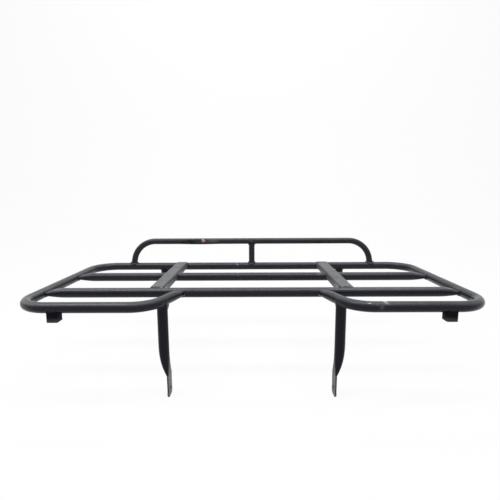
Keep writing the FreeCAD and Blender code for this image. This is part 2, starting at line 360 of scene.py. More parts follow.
def bead_surface(points, outward, radius, ripple, seed, closed):
    """A weld bead along a curve: a tube whose radius swells at each ripple, with ripples bowed as crescents.

    radius * (0.8 + 0.2 |sin(pi (s / ripple + 0.3 cos a))| + slow wander), closing to a point at free ends.
    The radius is one length, or one for each point.
    """
    radius = np.broadcast_to(radius, len(points))
    step = np.roll(points, -1, 0) - np.roll(points, 1, 0) if closed else np.gradient(points, axis=0)
    tangent = unit(step)
    outward = unit(outward - (outward * tangent).sum(1)[:, None] * tangent)
    side = np.cross(tangent, outward)
    run = run_lengths(points)
    whole = run[-1] + (np.linalg.norm(points[0] - points[-1]) if closed else 0.0)
    ripple = whole / max(1, round(whole / ripple))
    turn = turns(BEAD_AROUND)
    phase = np.random.default_rng(seed).uniform(0.0, 2 * np.pi, 3)
    share = 2 * np.pi * run / whole
    wander = sum(0.045 * np.sin((k + 2) * share + phase[k]) for k in range(3))
    waves = np.abs(np.sin(np.pi * (run[:, None] / ripple + 0.3 * np.cos(turn)[None])))
    size = radius[:, None] * (0.8 + 0.2 * waves + wander[:, None])
    if not closed:
        from_end = np.minimum(run, whole - run)
        size = size * np.sqrt(np.clip(from_end / radius, 0.02, 1.0))[:, None]
    return (points[:, None] + size[..., None] * (np.cos(turn)[None, :, None] * outward[:, None]
                                                 + np.sin(turn)[None, :, None] * side[:, None]))


def add_node(tree, kind, inputs=(), output=0, **settings):
    """Adds a shader node with its settings, sets or links its inputs, and gives one of its outputs."""
    node = tree.nodes.new(kind)
    for name, value in settings.items():
        setattr(node, name, value)
    for key, value in dict(inputs).items():
        if isinstance(value, bpy.types.NodeSocket):
            tree.links.new(value, node.inputs[key])
        else:
            node.inputs[key].default_value = value
    return node.outputs[output] if node.outputs else None


def emptied(owner):
    """A material's or surround's node tree without nodes, as the function that adds one to it."""
    owner.use_nodes = True
    owner.node_tree.nodes.clear()
    return partial(add_node, owner.node_tree)


def coated_steel(name, chalk_share, dust_share, rough, specular):
    """Mild steel with a satin black powder coat, sprayed and baked, then used for years out of doors.

    The eye gets a black skin with fine orange peel, a grey chalky top, patchy gloss a hand wide, pin-head
    specks, and bare or rusty metal with a ragged edge where the piece's own wear and rust values say so.
    """
    finish = bpy.context.scene.rack_finish
    coat, sheen, chalk, dust, steel, rust = (
        (*getattr(finish, key), 1.0) for key in ("coat", "sheen", "chalk", "dust", "steel", "rust"))
    material = bpy.data.materials.new(name)
    add = emptied(material)
    step = {"kind": "ShaderNodeMapRange", "interpolation_type": "SMOOTHSTEP"}
    times = {"kind": "ShaderNodeMath", "operation": "MULTIPLY", "use_clamp": True}
    place = add("ShaderNodeTexCoord", output="Object")
    normal = add("ShaderNodeNewGeometry", output="Normal")
    up = add("ShaderNodeSeparateXYZ", {0: normal}, output="Z")
    chalk_and_painted_light_here, wear_here, rust_here, stain_here = (
        add("ShaderNodeAttribute", output="Fac", attribute_name=key)
        for key in ("chalk", "wear", "rust", "stain"))
    # Patches a hand wide, mottle and ragged edges a few millimetres wide, specks and the coat's orange peel
    patches, mottle, ragged, specks, peel = (
        add("ShaderNodeTexNoise", {"Vector": place, "Scale": 1.0 / (width * MM), "Detail": detail},
            output="Fac")
        for width, detail in ((70.0, 4.0), (6.0, 5.0), (3.0, 5.0), (2.6, 2.0), (2.2, 3.0)))
    patches, mottle, specks, facing = (
        add(inputs={"Value": value, "From Min": low, "From Max": high}, **step)
        for value, low, high in ((patches, 0.35, 0.7), (mottle, 0.3, 0.75),
                                 (specks, 0.73, 0.8), (up, 0.3, 0.8)))
    ragged = add(inputs={"Value": ragged, "From Min": 0.2, "From Max": 0.8,
                         "To Min": -0.45, "To Max": 0.45}, **step)
    uneven = add(inputs={"Value": mottle, "To Min": 0.85}, **step)
    # The sun and loads chalk what faces up, most of all where the piece's own chalk value says so; that
    # value also carries painted light: painted highlights on the rails and cross tubes, painted light on
    # some weld beads and a painted shade on the channels' inner folds
    sun = add(inputs={"Value": patches, "To Min": 0.7 * chalk_share, "To Max": chalk_share}, **step)
    sunned = add(inputs={0: facing, 1: sun}, **times)
    chalk_and_highlight = add(inputs={0: chalk_and_painted_light_here, 1: uneven}, **times)
    chalked_and_highlighted = add("ShaderNodeMath", {0: sunned, 1: chalk_and_highlight}, operation="MAXIMUM")
    dust_patch = add(inputs={"Value": mottle, "To Max": dust_share}, **step)
    dusted = add(inputs={0: facing, 1: dust_patch}, **times)
    # Wear and rust end in a ragged edge, and a stain is an even film
    worn, rusted = (
        add(inputs={"Value": add("ShaderNodeMath", {0: amount, 1: ragged}, operation="ADD"),
                    "From Min": 0.45, "From Max": 0.62}, **step)
        for amount in (wear_here, rust_here))
    stained = add(inputs={0: stain_here, 1: uneven}, **times)
    rusted = add("ShaderNodeMath", {0: rusted, 1: stained}, operation="MAXIMUM")
    specks = add(inputs={0: specks, 1: facing}, **times)
    tint = coat
    for share, above in ((chalked_and_highlighted, chalk), (dusted, dust), (specks, chalk), (rusted, rust), (worn, steel)):
        tint = add("ShaderNodeMix", {"Factor": share, 6: tint, 7: above}, output=2, data_type="RGBA")
    dull = add("ShaderNodeMath", {0: chalked_and_highlighted, 1: rusted}, operation="MAXIMUM")
    gloss = add(inputs={"Value": patches, "To Min": rough - 0.05, "To Max": rough + 0.07}, **step)
    gloss = add("ShaderNodeMath", {0: dull, 1: 0.12, 2: gloss}, operation="MULTIPLY_ADD", use_clamp=True)
    height = add("ShaderNodeMath", {0: worn, 1: -0.6, 2: peel}, operation="MULTIPLY_ADD")
    bump = add("ShaderNodeBump", {"Strength": 0.08, "Distance": 0.25 * MM, "Height": height})
    shader = add("ShaderNodeBsdfPrincipled", {
        "Base Color": tint, "Roughness": gloss, "Metallic": add(inputs={0: worn, 1: 0.6}, **times),
        "IOR": 1.5, "Specular IOR Level": specular, "Specular Tint": sheen, "Normal": bump})
    add("ShaderNodeOutputMaterial", {"Surface": shader})
    return material


# The finishes: how much of the top is chalked and dusted, how rough the coat is and how much it mirrors
COATS = {
    "tube": ("satin black powder coat on bent tube", 0.36, 0.05, 0.26, 0.23),
    "sheet": ("load-worn powder coat on folded sheet", 0.1, 0.2, 0.45, 0.3),
    "leg": ("satin black powder coat on pinched legs", 0.1, 0.05, 0.4, 0.14),
    "foot": ("satin black powder coat on square tube", 0.1, 0.05, 0.55, 0.02),
    "weld": ("powder coat over weld beads", 0.45, 0.2, 0.42, 0.25),
}


def coat(key):
    """A coated finish by its key, made when it is first asked for."""
    return bpy.data.materials.get(COATS[key][0]) or coated_steel(*COATS[key])


class RACK_OT_perimeter_tube(bpy.types.Operator):
    """Builds the outer deck tube: a round section carried round the deck's bends, pinched at its ends"""
    bl_idname = "rack.perimeter_tube"
    bl_label = "Perimeter tube"

    def execute(self, context):
        sizes = context.scene.rack_sizes
        half = [recess_end(sizes), (sizes.recess_half, REAR_Y, DECK_Z),
                (SIDE_X, REAR_Y, DECK_Z), (SIDE_X, FRONT_Y, DECK_Z)]
        points, tangents = bent_line(half + [(-x, y, z) for x, y, z in reversed(half)], sizes.bend_radius)
        run = run_lengths(points)
        from_end = np.minimum(run, run[-1] - run)
        keep = from_end > COPE_START * TUBE_R
        points, tangents, from_end = points[keep], tangents[keep], from_end[keep]
        taper_start = sizes.recess_taper + sizes.recess_flat + TUBE_R
        thickness = tapered(sizes.recess_thickness, taper_start - from_end, sizes.recess_taper)
        over, wide = pinched(thickness, turns())
        grid = carried(points, tangents, Z_AXIS, wide, over)
        # A scrape where the right-hand rail starts to bend: a knocked edge, bright specks and a smear
        edge_x, top_speck_x, front_speck_x, smear_x = 238.2 * MM, 207.0 * MM, 221.0 * MM, 228.5 * MM
        knock = 3.0 * MM * hump(edge_x, 8.0 * MM, points[:, 0]) * ramp(0.0, 0.1, -points[:, 1])
        grid = flattened(grid, points, unit((0.0, -0.15, 1.0)), TUBE_R, knock)
        grid = coped_ends(grid, tangents, np.array((0.0, CROSS_Y, DECK_Z)))
        x, y, z = np.moveaxis(grid, -1, 0)
        rise = (z - DECK_Z) / TUBE_R
        rear = ramp(0.0, 0.1, -y)
        specks = hump(top_speck_x, 6.0 * MM, x) * ramp(0.6, 0.8, rise)
        specks += hump(front_speck_x, 5.0 * MM, x) * hump(0.6, 0.3, rise)
        wear = rear * (0.42 * specks + 0.75 * hump(edge_x, 7.0 * MM, x) * ramp(0.55, 0.75, rise))
        smear = 0.4 * rear * hump(smear_x, 6.0 * MM, x) * ramp(-0.8, 0.2, rise)
        # A fleck of bare metal on the front rail
        fleck_x = -41.0 * MM
        wear += 0.42 * (1 - rear) * hump(fleck_x, 5.0 * MM, x) * ramp(0.1, 0.4, rise)
        # Weather has dulled the front and side rails, and a grey band on the left-hand rail's upper side is
        # a painted highlight
        on_side = ramp(SIDE_X - 2 * TUBE_D, SIDE_X - TUBE_R, np.abs(x))
        haze = np.maximum(0.04 * ramp(0.0, FRONT_Y, y), 0.09 * on_side)
        chalk_and_highlight = 0.75 * rear * ramp(205.0 * MM, 230.0 * MM, -x) * hump(0.78, 0.35, rise)
        Shell().add(grid, wear=wear, chalk=np.maximum.reduce([smear, haze, chalk_and_highlight])).make(
            "perimeter_bent_tube", coat("tube"), "frame_coat", ["perimeter_tube"])
        return {"FINISHED"}


def recess_end(sizes):
    """Where the outer tube's axis meets the rear cross tube's axis, on the right."""
    return np.array((sizes.recess_half - (CROSS_Y - REAR_Y) / math.tan(sizes.recess_turn), CROSS_Y, DECK_Z))


def recess_way(sizes):
    """Direction of the outer tube's right-hand end, from the rear rail to the rear cross tube."""
    return np.array((-math.cos(sizes.recess_turn), math.sin(sizes.recess_turn), 0.0))


class RACK_OT_cross_tubes(bpy.types.Operator):
    """Builds the two cross tubes, pinched at their ends with their girth kept"""
    bl_idname = "rack.cross_tubes"
    bl_label = "Cross tubes"

    def execute(self, context):
        sizes = context.scene.rack_sizes
        half = SIDE_X - TUBE_R
        taper_start = half - sizes.cross_flat - sizes.cross_taper
        ends = np.linspace(taper_start, half, 24)
        x = np.unique(np.concatenate([np.linspace(-taper_start, taper_start, 240), -ends, ends]))
        thickness = tapered(sizes.cross_thickness, np.abs(x) - taper_start, sizes.cross_taper)
        over, wide = pinched(thickness, turns())
        for name, y, haze, painted_highlight_share, chips in (
                ("rear_cross_tube", CROSS_Y, 0.0, 0.7, ()),
                ("middle_cross_tube", MIDDLE_Y, 0.03, 0.1, ((-33.0, 4.0, 0.55), (163.0, 20.0, 0.3)))):
            grid = points_from(x[:, None], y + wide, DECK_Z + over)
            for row, side in ((0, -1.0), (-1, 1.0)):
                pole = np.array((side * SIDE_X, y, DECK_Z))
                grid[row] = coped(grid[row], side * X_AXIS, pole, Y_AXIS, TUBE_R)
            rise = over / TUBE_R
            wear = sum((amount * hump(place * MM, reach * MM, x)[:, None] * ramp(0.2, 0.6, rise)
                        for place, reach, amount in chips), np.zeros_like(over))
            # A painted highlight: a grey band on the upper side, strongest on the rear tube and towards the
            # ends
            to_ends = 0.4 + 0.6 * ramp(100.0 * MM, 180.0 * MM, np.abs(x))[:, None]
            chalk_and_highlight = painted_highlight_share * hump(0.8, 0.35, rise) * to_ends
            chalk = np.maximum.reduce([wear, np.full_like(wear, haze), chalk_and_highlight])
            Shell().add(grid, wear=wear, chalk=chalk).make(
                name.replace("tube", "pinched_tube"), coat("tube"), "frame_coat", [name])
        return {"FINISHED"}


class RACK_OT_fence(bpy.types.Operator):
    """Builds the fence hoop, with its knocked stretch and its rusty chip, and its centre post"""
    bl_idname = "rack.fence"
    bl_label = "Fence"

    def execute(self, context):
        sizes = context.scene.rack_sizes
        points, tangents = hoop_line(sizes)
        keep = points[:, 2] > DECK_Z + COPE_START * TUBE_R
        points, tangents = points[keep], tangents[keep]
        ring_x, ring_y = circle(FENCE_R)
        grid = carried(points, tangents, Y_AXIS, ring_x, ring_y)
        # A blow has knocked the front flat, most of all left of the chip, and has bulged the underside
        x = points[:, 0]
        on_top = ramp(FENCE_TOP - FENCE_R, FENCE_TOP, points[:, 2])
        for way, place, reach, depth in (((0.0, -1.0, -0.25), -169.0, 26.0, 2.4),
                                         ((0.0, -1.0, 0.2), -140.0, 60.0, 1.2)):
            knock = depth * MM * hump(place * MM, reach * MM, x) * on_top
            grid = flattened(grid, points, unit(way), FENCE_R, knock)
        bulge = 1.0 * MM * hump(-145.0 * MM, 65.0 * MM, x) * on_top
        low_half = np.minimum((grid[..., 2] - points[:, None, 2]) / FENCE_R, 0.0)
        grid[..., 2] += bulge[:, None] * low_half
        pole = np.array((0.0, FRONT_Y, DECK_Z))
        grid = coped_ends(grid, tangents, pole)
        x, y, z = np.moveaxis(grid, -1, 0)
        # The chip, with a rusty rim, a stain and a chalky rub to its right
        chip_x, stain_x, rub_x = -134.0 * MM, -116.0 * MM, -106.0 * MM
        front = ramp(-0.2, 0.5, (FRONT_Y - y) / FENCE_R) * ramp(-0.7, 0.1, (z - FENCE_TOP) / FENCE_R)
        wear = 0.5 * front * hump(chip_x, 11.0 * MM, x)
        rust = 0.75 * front * hump(chip_x, 14.0 * MM, x)
        stain = 0.1 * front * hump(stain_x, 22.0 * MM, x)
        chalk = 0.09 + 0.4 * front * hump(rub_x, 24.0 * MM, x)
        Shell().add(grid, wear=wear, rust=rust, stain=stain, chalk=chalk).make(
            "fence_bent_hoop", coat("tube"), "fence_coat", ["fence_hoop"])
        z = np.linspace(DECK_Z + COPE_START * TUBE_R, FENCE_TOP - COPE_START * FENCE_R, 16)
        post = points_from(ring_x, FRONT_Y + ring_y, z[:, None])
        foot = coped(post[0], -Z_AXIS, pole, X_AXIS, TUBE_R)
        head = coped(post[-1], Z_AXIS, np.array((0.0, FRONT_Y, FENCE_TOP)), X_AXIS, FENCE_R)
        Shell().add(np.concatenate([foot[None], post, head[None]]), chalk=0.12).make(
            "fence_centre_post", coat("tube"), "fence_coat", ["fence_post"])
        return {"FINISHED"}


def hoop_line(sizes):
    """Points and tangents of the fence hoop's axis, from the front rail up, across and down."""
    lean = sizes.fence_splay
    corner_x = sizes.fence_arc_x + sizes.fence_bend * math.tan((math.pi / 2 - lean) / 2)
    foot_x = corner_x + (FENCE_TOP - DECK_Z) * math.tan(lean)
    return bent_line([(-foot_x, FRONT_Y, DECK_Z), (-corner_x, FRONT_Y, FENCE_TOP),
                      (corner_x, FRONT_Y, FENCE_TOP), (foot_x, FRONT_Y, DECK_Z)], sizes.fence_bend)


class RACK_OT_deck_channels(bpy.types.Operator):
    """Builds the two folded deck channels, notched over the tubes"""
    bl_idname = "rack.deck_channels"
    bl_label = "Deck channels"

    def execute(self, context):
        sizes = context.scene.rack_sizes
        low_x, low_y, low_z = CHANNEL_LOW
        high_x, high_y, high_z = CHANNEL_HIGH
        fold = np.linspace(0.0, np.pi / 2, 9)
        flange_steps, top_steps = 5, 12

        def skin(inset, radius):
            """A U from the foot of one flange over the top to the other, as x and z."""
            left_x = low_x + inset + radius * (1 - np.cos(fold))
            fold_z = high_z - inset - radius * (1 - np.sin(fold))
            top_x = np.linspace(low_x + inset + radius, high_x - inset - radius, top_steps + 2)[1:-1]
            rise = np.linspace(low_z, high_z - inset - radius, flange_steps + 1)[:-1]
            x = np.concatenate([np.full(flange_steps, low_x + inset), left_x, top_x,
                                (low_x + high_x - left_x)[::-1], np.full(flange_steps, high_x - inset)])
            z = np.concatenate([rise, fold_z, np.full(top_steps, high_z - inset), fold_z[::-1], rise[::-1]])
            return x, z

        outer_x, outer_z = skin(0.0, sizes.sheet_bend)
        inner_x, inner_z = skin(sizes.sheet, sizes.sheet_bend - sizes.sheet)
        x, z = np.concatenate([outer_x, inner_x[::-1]]), np.concatenate([outer_z, inner_z[::-1]])
        # The notches clear the tubes, and a row of points just beside each keeps its edge upright
        notch = TUBE_R + 0.1 * MM
        just = 0.01 * MM
        seats = [CROSS_Y, MIDDLE_Y, FRONT_Y]
        near = [seat + notch * np.sin(np.linspace(-np.pi / 2, np.pi / 2, 25)) for seat in seats]
        beside = [seat + side * (notch + just) for seat in seats for side in (-1, 1)]
        y = np.unique(np.concatenate([np.linspace(low_y, high_y, 80), *near, beside]))
        y = y[(y >= low_y) & (y <= high_y)]
        cut = np.max([np.where(np.abs(y - seat) <= notch,
                               DECK_Z + np.sqrt(np.maximum(notch ** 2 - (y - seat) ** 2, 0.0)), low_z)
                      for seat in seats], 0)
        grid = points_from(x, y[:, None], np.maximum(z, cut[:, None]))
        # Loads have rubbed the top, its outer edge and the near ends light, and the outer edge's band is
        # also a painted highlight; a painted shade darkens the inner fold
        from_inner, from_outer = grid[..., 0] - low_x, high_x - grid[..., 0]
        from_near, from_top = grid[..., 1] - low_y, high_z - grid[..., 2]
        top = ramp(2.2 * MM, 0.6 * MM, from_top)
        near_end = ramp(60.0 * MM, 5.0 * MM, from_near)
        # Painted shade: a dark line along the inner fold
        painted_fold_shade = hump(2.0 * MM, 2.4 * MM, from_inner) * ramp(5.0 * MM, 2.0 * MM, from_top)
        chalk = np.maximum(0.37 + 0.32 * top, 0.9 * near_end * (1 - top)) - painted_fold_shade
        # The outer and near edges of the top are worn bare, and this band is also a painted highlight
        edge_wear_and_highlight = 0.3 * hump(2.0 * MM, 2.5 * MM, from_outer) + 0.24 * ramp(12.0 * MM, 2.0 * MM, from_near)
        wear = np.maximum(edge_wear_and_highlight * top, 0.6 * near_end * (1 - top)) * (1 - painted_fold_shade)
        for name, side in SIDES.items():
            Shell().add(grid * (side, 1.0, 1.0), strip_caps=True, chalk=chalk, wear=wear).make(
                "deck_folded_channel_" + name, coat("sheet"), "channel_coat", ["deck_channel_" + name])
        return {"FINISHED"}


def leg_surfaces(sizes, low, high, lean, axis):
    """A leg's tube, pinched with its girth kept, and its drilled blade as a profile carried round the hole.

    The blade's profile runs from the hole out along one face, round the edge and back along the other.
    """
    middle_x = low[0] + TUBE_R if lean < 0 else high[0] - TUBE_R
    middle_y = (low[1] + high[1]) / 2
    taper_top = sizes.blade_length + sizes.leg_taper
    tube_top = DECK_Z - 1.2 * TUBE_R
    z = np.concatenate([np.linspace(tube_top, taper_top, 16)[:-1],
                        np.linspace(taper_top, sizes.blade_length, 40)])
    thickness = tapered(sizes.blade_thickness, taper_top - z, sizes.leg_taper, power=3)
    over, wide = pinched(thickness, turns(LEG_AROUND))
    shift = lean * (TUBE_D - thickness) / 2
    tube = points_from(middle_x + shift[:, None] + over, middle_y + wide, z[:, None])
    pole = np.array((middle_x, middle_y, DECK_Z))
    tube = np.concatenate([coped(tube[0], Z_AXIS, pole, axis, TUBE_R)[None], tube])
    half_width = (high[1] - low[1]) / 2
    corner = sizes.blade_corner
    quarter = np.linspace(0.0, np.pi / 2, 12)
    end_steps, side_steps, top_steps, face_steps = 5, 17, 11, 9
    side_z = np.linspace(corner, sizes.blade_length, side_steps + 1)[1:]
    rim_y = np.concatenate([np.linspace(0.0, half_width - corner, end_steps + 1)[:-1],
                            half_width - corner + corner * np.sin(quarter), np.full(side_steps, half_width),
                            np.linspace(half_width, 0.0, top_steps + 1)[1:]])
    rim_z = np.concatenate([np.zeros(end_steps), corner - corner * np.cos(quarter), side_z,
                            np.full(top_steps, sizes.blade_length)])
    rim_y = np.concatenate([rim_y, -rim_y[-2:0:-1]])
    rim_z = np.concatenate([rim_z, rim_z[-2:0:-1]])
    rim = np.stack([rim_y, rim_z - sizes.bolt_height], -1)
    hole = unit(rim) * sizes.bolt_hole / 2
    # The folded sides are full half rounds, and the sawn end has a small rounding
    half = sizes.blade_thickness / 2
    small = 0.35 * MM
    at_side = ramp(half_width - 0.3 * MM, half_width, np.abs(rim_y))
    folded_side = at_side * ramp(corner, corner + 4.0 * MM, rim_z)
    edge = small + (half - small) * folded_side
    flat_reach = np.linalg.norm(rim - hole, axis=1) - edge
    round_off = np.linspace(0.0, np.pi / 2, 6)[1:, None]
    out = np.concatenate([np.linspace(0.0, 1.0, face_steps)[:, None] * flat_reach,
                          flat_reach + edge * np.sin(round_off)])
    depth = np.concatenate([np.full((face_steps, len(edge)), half), half - edge * (1 - np.cos(round_off))])
    out = np.concatenate([out, out[::-1]])
    depth = np.concatenate([depth, -depth[::-1]])
    flat = hole[None] + out[..., None] * unit(rim)[None]
    blade_x = middle_x + lean * (TUBE_D - sizes.blade_thickness) / 2
    blade = points_from(blade_x + depth, middle_y + flat[..., 0], sizes.bolt_height + flat[..., 1])
    return tube, np.swapaxes(blade, 0, 1)


class RACK_OT_legs(bpy.types.Operator):
    """Builds the four legs with their pinched, drilled ends"""
    bl_idname = "rack.legs"
    bl_label = "Legs"

    def execute(self, context):
        sizes = context.scene.rack_sizes
        for row, low, high, lean, axis in (
                ("rear", REAR_LEG_LOW, REAR_LEG_HIGH, -1.0, recess_way(sizes)),
                ("front", FRONT_LEG_LOW, FRONT_LEG_HIGH, 1.0, X_AXIS)):
            tube, blade = leg_surfaces(sizes, low, high, lean, axis)
            blade_x = blade[..., 0].mean()
            # The face that lay against the vehicle's bracket is rubbed grey, and the left one is rusty
            on_tube = ramp(1.0 * MM, 0.0, np.abs(tube[..., 0] - blade_x - lean * sizes.blade_thickness / 2))
            on_tube *= ramp(30.0 * MM, 0.0, tube[..., 2] - sizes.blade_length)
            on_blade = ramp(0.2, 0.8, lean * (blade[..., 0] - blade_x) / (sizes.blade_thickness / 2))
            low_end = ramp(30.0 * MM, 5.0 * MM, blade[..., 2])
            for name, side in SIDES.items():
                mirror = (side, 1.0, 1.0)
                rusty = 0.22 if side < 0 else 0.1
                shell = Shell().add(tube * mirror, chalk=0.6 * on_tube)
                shell.add(blade * mirror, wrap_rows=True, chalk=0.85 * on_blade,
                          stain=on_blade * rusty, wear=on_blade * 0.2 * low_end)
                shell.make(f"{row}_pinched_leg_{name}", coat("leg"), "leg_coat", [f"{row}_leg_{name}"])
        return {"FINISHED"}


class RACK_OT_corner_feet(bpy.types.Operator):
    """Builds the square tube stubs under the rear rail, saddled to it and open below"""
    bl_idname = "rack.corner_feet"
    bl_label = "Corner feet"

    def execute(self, context):
        sizes = context.scene.rack_sizes
        lip = 0.25 * MM

        def outline(inset, radius):
            """A rounded square: each quarter's corner arc, pushed out from the middle."""
            quarter = np.arange(4)[:, None] * np.pi / 2
            corner = quarter + np.linspace(0.0, np.pi / 2, 7)
            reach = (FOOT_HALF - inset - radius) * math.sqrt(2)
            diagonal = quarter + np.pi / 4
            ring = np.stack([reach * np.cos(diagonal) + radius * np.cos(corner),
                             reach * np.sin(diagonal) + radius * np.sin(corner)], -1)
            return ring.reshape(-1, 2)

        outer = outline(0.0, sizes.foot_corner)
        inner = outline(sizes.foot_wall, sizes.foot_corner - sizes.foot_wall)
        bevel = outline(lip, sizes.foot_corner - lip)
        bottom = FOOT_LOW[2]
        wall = bottom + lip
        rows = []
        for ring, start, share in ((outer, wall, 1.0), (outer, wall, 0.5), (outer, wall, 0.0),
                                   (bevel, bottom, 0.0), (inner, bottom, 0.0), (inner, bottom, 1.0)):
            top = np.minimum(DECK_Z - np.sqrt(np.maximum(TUBE_R ** 2 - ring[:, 1] ** 2, 0.0)), FOOT_HIGH[2])
            rows.append(np.column_stack([ring, start + (top - start) * share]))
        grid = np.array(rows) + (FOOT_X, REAR_Y, 0.0)
        chalk = 0.5 * ramp(1.0 * MM, 0.0, grid[..., 2] - bottom)
        for name, side in SIDES.items():
            Shell().add(grid * (side, 1.0, 1.0), wrap_rows=True, chalk=chalk).make(
                "corner_square_foot_" + name, coat("foot"), "foot_coat", ["corner_foot_" + name])
        return {"FINISHED"}


def around_stub(centre, along, over, wide, over_axis, rail_axis, rail_radius):
    """The line where a stub's outline, given by its offsets, meets a rail, with its outward directions."""
    wide_axis = np.cross(along, over_axis)
    outward = over[:, None] * over_axis + wide[:, None] * wide_axis
    well_back = 200.0 * MM
    return coped(centre + outward - well_back * along, along, centre, rail_axis, rail_radius), outward


class RACK_OT_weld_beads(bpy.types.Operator):
    """Builds the rippled weld beads at every joint"""
    bl_idname = "rack.weld_beads"
    bl_label = "Weld beads"

    def execute(self, context):
        sizes = context.scene.rack_sizes
        bead = sizes.bead

        def group(name, runs, nodes=(), closed=False, wear=0.0, chalk=0.0):
            """One piece of beads on both sides. A run is a line, its outward ways and its radius."""
            shell = Shell()
            for number, (points, outward, radius) in enumerate(runs):
                for side in SIDES.values():
                    if side < 0 and np.abs(points[:, 0].mean()) < MM:
                        continue
                    line, ways = (values * (side, 1.0, 1.0) for values in (points, outward))
                    seed = 10 * len(name) + 2 * number + (side > 0)
                    grid = bead_surface(line, ways, radius, sizes.ripple, seed, closed)
                    shell.add(grid, wrap_rows=closed, wear=wear, chalk=chalk)
            shell.make(name, coat("weld"), "weld_coat", nodes)

        def round_end(centre, along, radius, rail_axis, rail_radius=TUBE_R):
            """The line where a round tube meets a rail."""
            return around_stub(centre, along, *circle(radius, JOINT_AROUND), Y_AXIS, rail_axis, rail_radius)

        def pinched_end(centre, along, thickness, rail_axis, turn):
            """The line where a pinched tube meets a deck rail, over some angles of its section."""
            over, wide = pinched(np.array([thickness]), turn)
            return around_stub(centre, along, over[0], wide[0], Z_AXIS, rail_axis, TUBE_R)

        def straight(x, y, z, way):
            """A straight line of points, with one outward way."""
            points = points_from(x, y, z)
            return points, np.broadcast_to(np.array(way), points.shape)

        # Pinched ends of the outer tube, from one side round the underside to the other
        under = np.linspace(0.55 * np.pi, 1.45 * np.pi, 90)
        ends = pinched_end(recess_end(sizes), recess_way(sizes), sizes.recess_thickness, X_AXIS, under)
        # The chalk value paints these underside beads light, a painted highlight; the wear value gives bare
        # patches
        group("perimeter_end_weld_beads", [(*ends, bead)], wear=0.25, chalk=0.8)
        # Fence hoop and post
        points, tangents = hoop_line(sizes)
        hoop = round_end(points[-1], tangents[-1], FENCE_R, X_AXIS)
        foot = round_end(np.array((0.0, FRONT_Y, DECK_Z)), -Z_AXIS, FENCE_R, X_AXIS)
        head = round_end(np.array((0.0, FRONT_Y, FENCE_TOP)), Z_AXIS, FENCE_R, X_AXIS, FENCE_R)
        runs = [(*hoop, 1.3 * bead), (*foot, 1.2 * bead), (*head, 1.1 * bead)]
        group("fence_weld_beads", runs, closed=True)
        # Legs, with beads that thin out where they climb the rail's sides
        rear = np.array((REAR_LEG_LOW[0] + TUBE_R, middle("rear_leg_right")[1], DECK_Z))
        front = np.array((FRONT_LEG_HIGH[0] - TUBE_R, FRONT_Y, DECK_Z))
        runs = []
        for centre, rail_way in ((rear, recess_way(sizes)), (front, X_AXIS)):
            points, outward = round_end(centre, Z_AXIS, TUBE_R, rail_way)
            thinning = 1.0 - 0.75 * ramp(DECK_Z - TUBE_R, DECK_Z - 0.3 * TUBE_R, points[:, 2])
            runs.append((points, outward, 0.7 * bead * thinning))
        group("leg_weld_beads", runs, closed=True)
        # Cross tube ends, along the top and the underside of the flats and some way round their edges
        runs = []
        for y in (CROSS_Y, MIDDLE_Y):
            for first, size in ((-0.4 * np.pi, 1.65), (0.6 * np.pi, 0.95)):
                arc = np.linspace(first, first + 0.8 * np.pi, 80)
                centre = np.array((SIDE_X, y, DECK_Z))
                line = pinched_end(centre, X_AXIS, sizes.cross_thickness, Y_AXIS, arc)
                runs.append((*line, size * bead))
        # The chalk value paints these beads light, to lift the shade in the crease beside them: painted
        # light
        group("cross_tube_weld_beads", runs, ["cross_tube_welds"], chalk=0.45)
        # Corner feet, along both sides of the rail
        along = np.linspace(-FOOT_HALF + sizes.foot_corner, FOOT_HALF - sizes.foot_corner, 50)
        foot_bead, from_axis = 1.4 * MM, FOOT_HALF - 1.8 * MM
        top = FOOT_HIGH[2]
        runs = [(*straight(FOOT_X + along, REAR_Y + side * from_axis, top, (0.0, side, 0.2)), foot_bead)
                for side in (1.0, -1.0)]
        group("corner_foot_weld_beads", runs, ["foot_welds"])
        # Channel ends, on the half nearer the middle of the rack, rubbed bare next to the fold
        along = np.linspace(sizes.sheet_bend, sizes.sheet_bend + 13.0 * MM, 40)
        bare = 0.5 * ramp(9.0 * MM, 2.0 * MM, along - sizes.sheet_bend)[:, None]
        runs = [(*straight(CHANNEL_LOW[0] + along, y, DECK_Z + TUBE_R - drop, (0.0, facing, 1.0)), bead)
                for y, drop, facing in ((CHANNEL_LOW[1], 0.0, -1.0), (CHANNEL_HIGH[1], 0.8 * MM, 1.0))]
        group("channel_weld_beads", runs, ["channel_welds"], wear=bare, chalk=0.6)
        return {"FINISHED"}


